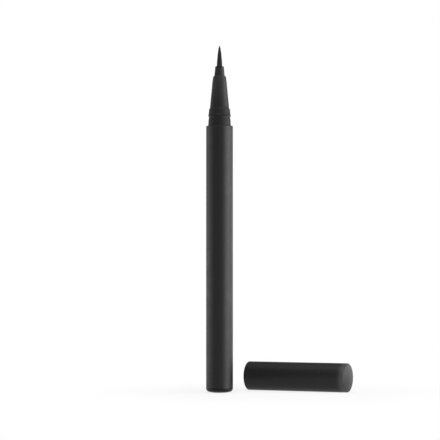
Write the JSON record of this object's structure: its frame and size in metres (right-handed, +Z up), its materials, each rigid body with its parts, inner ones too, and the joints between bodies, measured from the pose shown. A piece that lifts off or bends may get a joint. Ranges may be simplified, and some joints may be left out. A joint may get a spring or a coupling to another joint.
{
  "type": "liquid eyeliner pen",
  "caption": "Slim liquid eyeliner pen with a tapered nose, fine brush tip and comb feed inside, standing beside its push-on cap.",
  "frame": {"origin": "middle of the flat under the pen's tail, on the surface that the pen and the cap rest on", "axes": "+Z up along the pen's axis to the brush's tip; +X to the right as the object is first seen, where the cap lies; +Y away from the viewer, towards the cap's mouth"},
  "size_m": [0.0528, 0.0256, 0.1244],
  "materials": {
    "matte_shell": "soft-touch satin black polypropylene barrel and tail",
    "cap_shell_plastic": "soft-touch satin black polypropylene cap",
    "nose_plastic": "black moulded plastic, semi-gloss",
    "holder_plastic": "black moulded plastic, semi-gloss",
    "brush_fibre": "ink-black tapered nylon filaments",
    "seal_rubber": "black sealing rings",
    "lip_rubber": "grey elastomer lip",
    "cushion_foam": "soft grey pad",
    "tank_plastic": "milky polypropylene tank",
    "collector_plastic": "off-white moulded comb feed",
    "core_fibre": "bonded fibre rod",
    "ball_steel": "polished stainless steel balls",
    "spring_steel": "drawn stainless steel wire",
    "inner_cap_plastic": "natural white polypropylene"
  },
  "bodies": {
    "pen": {"barrel": "matte_shell", "tail_plug": "matte_shell", "tail_seal": "seal_rubber", "tank_cushion": "cushion_foam", "ink_tank": "tank_plastic", "tank_seal": "seal_rubber", "collector": "collector_plastic", "feeder_core": "core_fibre", "nose_cone": "nose_plastic", "nose_seal": "seal_rubber", "brush_holder": "holder_plastic", "brush": "brush_fibre"},
    "ball_left": {"mixing_ball_left": "ball_steel"},
    "ball_right": {"mixing_ball_right": "ball_steel"},
    "cap": {"cap_shell": "cap_shell_plastic", "retainer_ring": "holder_plastic", "cap_spring": "spring_steel"},
    "inner_cap": {"inner_cap": "inner_cap_plastic", "inner_cap_seal": "lip_rubber"}
  },
  "joints": [
    {"name": "cap_pull", "type": "slide", "parent": "pen", "child": "cap", "axis": [0.9063, -0.4226, 0], "range_m": [0, 0.04]},
    {"name": "inner_cap_slide", "type": "slide", "parent": "cap", "child": "inner_cap", "axis": [0.9063, -0.4226, 0], "range_m": [0, 0.002], "stiffness_N_per_m": 120, "springref_m": -0.003, "deforming": ["cap_spring"]},
    {"name": "ball_left_slide", "type": "slide", "parent": "pen", "child": "ball_left", "axis": [0, 0, 1], "range_m": [0, 0.05]},
    {"name": "ball_right_slide", "type": "slide", "parent": "pen", "child": "ball_right", "axis": [0, 0, 1], "range_m": [0, 0.05]}
  ]
}
